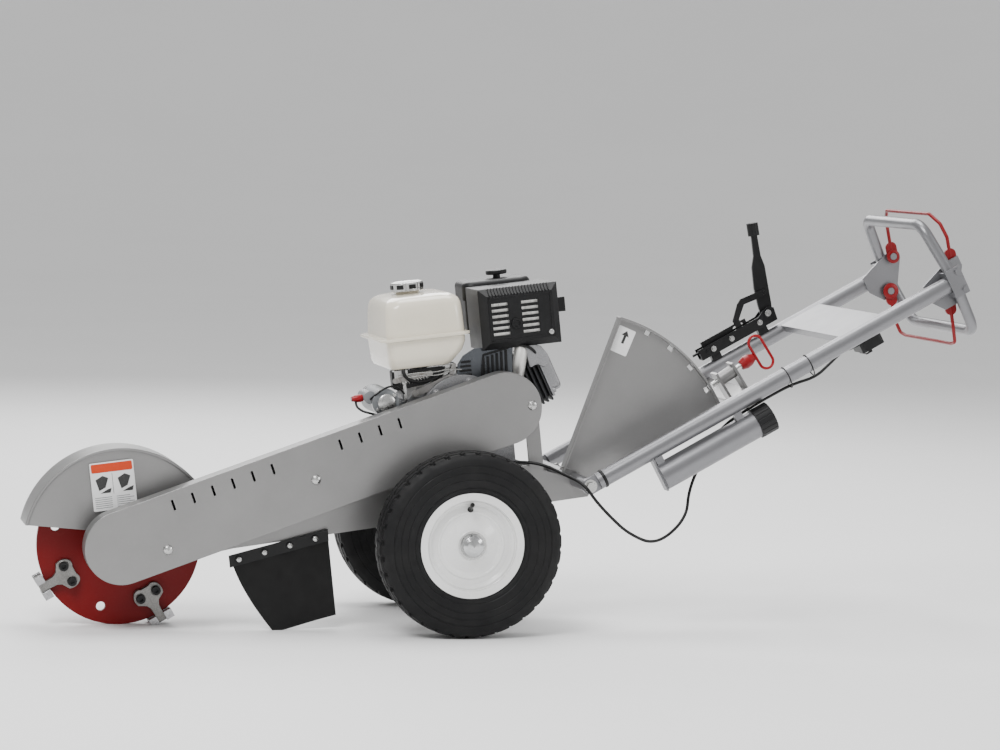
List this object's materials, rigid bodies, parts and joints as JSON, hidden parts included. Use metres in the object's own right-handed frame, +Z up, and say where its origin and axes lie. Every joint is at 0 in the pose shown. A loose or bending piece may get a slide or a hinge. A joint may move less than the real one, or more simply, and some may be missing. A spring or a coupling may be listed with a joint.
{
  "type": "stump grinder",
  "caption": "Walk-behind stump grinder: belt-driven toothed cutter disc under a half-drum guard, petrol engine on a two-wheel frame, and a raisable handle with grip ring.",
  "frame": {"origin": "on the ground under the middle of the whole machine", "axes": "+X from the cutter to the grips, +Y from the belt guard side to the recoil starter side, +Z up"},
  "size_m": [2.1198, 0.582, 0.9442],
  "materials": {
    "silver_paint": "satin silver powder coat",
    "red_paint": "gloss red paint",
    "white_paint": "gloss white paint",
    "tank_paint": "gloss cream paint",
    "black_paint": "satin black paint",
    "zinc": "bright zinc plate",
    "bare_steel": "bare machined steel",
    "cast_alloy": "die-cast alloy",
    "black_plastic": "moulded black plastic",
    "grey_plastic": "moulded grey plastic",
    "red_plastic": "moulded red plastic",
    "tyre_rubber": "black tyre rubber",
    "black_rubber": "black sheet rubber",
    "belt_rubber": "fabric-backed rubber belt",
    "cable_jacket": "black cable jacket"
  },
  "bodies": {
    "frame": {"axle": "bare_steel", "near_frame_plate": "silver_paint", "far_frame_plate": "silver_paint", "engine_deck": "silver_paint", "pivot_tube": "silver_paint", "pivot_bolts": "zinc", "quadrant": "silver_paint", "cutter_bearings": "black_paint", "cutter_guard": "silver_paint", "belt_guard": "silver_paint", "belt_guard_back": "silver_paint", "belt_guard_bolts": "zinc", "chip_flap": "black_rubber", "flap_strip": "black_paint", "drive_belt": "belt_rubber", "engine_block": "cast_alloy", "cylinder": "cast_alloy", "valve_cover": "grey_plastic", "recoil_cover": "black_paint", "fuel_tank": "tank_paint", "tank_bracket": "black_paint", "muffler": "bare_steel", "muffler_guard": "black_paint", "air_cleaner": "black_plastic", "carburettor": "cast_alloy", "starter_motor": "grey_plastic", "control_cable_frame": "cable_jacket"},
    "near_wheel": {"near_tyre": "tyre_rubber", "near_rim": "white_paint", "near_hub_cap": "zinc"},
    "far_wheel": {"far_tyre": "tyre_rubber", "far_rim": "white_paint", "far_hub_cap": "zinc"},
    "cutter": {"cutter_disc": "red_paint", "cutter_teeth": "bare_steel", "tooth_bolts": "black_paint", "cutter_shaft": "bare_steel", "cutter_pulley": "black_paint"},
    "crank": {"crankshaft": "bare_steel", "engine_pulley": "black_paint"},
    "fuel_cap": {"fuel_cap": "black_plastic"},
    "handle": {"handle_tubes": "silver_paint", "cross_plate": "silver_paint", "grip_ring": "silver_paint", "grip_brackets": "silver_paint", "control_box": "black_plastic", "manual_tube": "silver_paint", "lock_bracket": "silver_paint", "lever_base": "black_paint", "control_cable_handle": "cable_jacket", "control_cable_loop": "cable_jacket"},
    "upper_bail": {"bail_upper": "red_paint"},
    "lower_bail": {"bail_lower": "red_paint"},
    "manual_cap": {"manual_tube_cap": "black_plastic"},
    "lock": {"lock_pin": "zinc", "lock_ring": "red_plastic"},
    "lever": {"brake_lever": "black_paint"},
    "knob": {"lever_knob": "black_plastic"},
    "link": {"brake_link": "black_paint"},
    "rod": {"brake_rod": "black_paint"}
  },
  "joints": [
    {"name": "near_wheel_spin", "type": "hinge", "parent": "frame", "child": "near_wheel", "pos_m": [-0.12514, -0.237, 0.203], "axis": [0, 1, 0], "continuous": true},
    {"name": "far_wheel_spin", "type": "hinge", "parent": "frame", "child": "far_wheel", "pos_m": [-0.12514, 0.237, 0.203], "axis": [0, 1, 0], "continuous": true},
    {"name": "cutter_spin", "type": "hinge", "parent": "frame", "child": "cutter", "pos_m": [-0.85199, 0, 0.178], "axis": [0, 1, 0], "continuous": true},
    {"name": "crank_spin", "type": "hinge", "parent": "frame", "child": "crank", "pos_m": [-0.10655, 0, 0.45924], "axis": [0, 1, 0], "continuous": true},
    {"name": "fuel_cap_lift", "type": "slide", "parent": "frame", "child": "fuel_cap", "axis": [-0.1231, 0, 0.9924], "range_m": [0, 0.04]},
    {"name": "handle_raise", "type": "hinge", "parent": "frame", "child": "handle", "pos_m": [0.1509, 0, 0.32532], "axis": [0, -1, 0], "range_deg": [0, 38], "deforming": ["control_cable_loop"]},
    {"name": "upper_bail_squeeze", "type": "hinge", "parent": "handle", "child": "upper_bail", "pos_m": [0.99011, 0, 0.82464], "axis": [0, -1, 0], "range_deg": [0, 8], "stiffness_Nm_per_rad": 4, "springref_deg": -17.19},
    {"name": "lower_bail_squeeze", "type": "hinge", "parent": "handle", "child": "lower_bail", "pos_m": [0.98714, 0, 0.74306], "axis": [0, -1, 0], "range_deg": [0, 8], "stiffness_Nm_per_rad": 4, "springref_deg": -17.19},
    {"name": "manual_cap_pull", "type": "slide", "parent": "handle", "child": "manual_cap", "axis": [0.8757, 0, 0.4829], "range_m": [0, 0.045]},
    {"name": "lock_pin_slide", "type": "slide", "parent": "handle", "child": "lock", "axis": [0.8312, 0, 0.5559], "range_m": [-0.01, 0.008]},
    {"name": "lever_swing", "type": "hinge", "parent": "handle", "child": "lever", "pos_m": [0.68819, 0.21, 0.6867], "axis": [0, 1, 0], "range_deg": [0, 55]},
    {"name": "knob_turn", "type": "hinge", "parent": "lever", "child": "knob", "pos_m": [0.64692, 0.21, 0.89566], "axis": [-0.1938, 0, 0.981], "continuous": true},
    {"name": "link_turn", "type": "hinge", "parent": "lever", "child": "link", "pos_m": [0.67889, 0.21, 0.73379], "axis": [0, 1, 0], "range_deg": [-40, 0]},
    {"name": "rod_slide", "type": "slide", "parent": "handle", "child": "rod", "axis": [0.8757, 0, 0.4829], "range_m": [0, 0.024]}
  ],
  "couplings": [
    {"joint": "crank_spin", "follows": "cutter_spin", "ratio": 1.2083},
    {"joint": "link_turn", "follows": "lever_swing", "ratio": -0.66},
    {"joint": "rod_slide", "follows": "lever_swing", "m_per_rad": 0.0222}
  ]
}
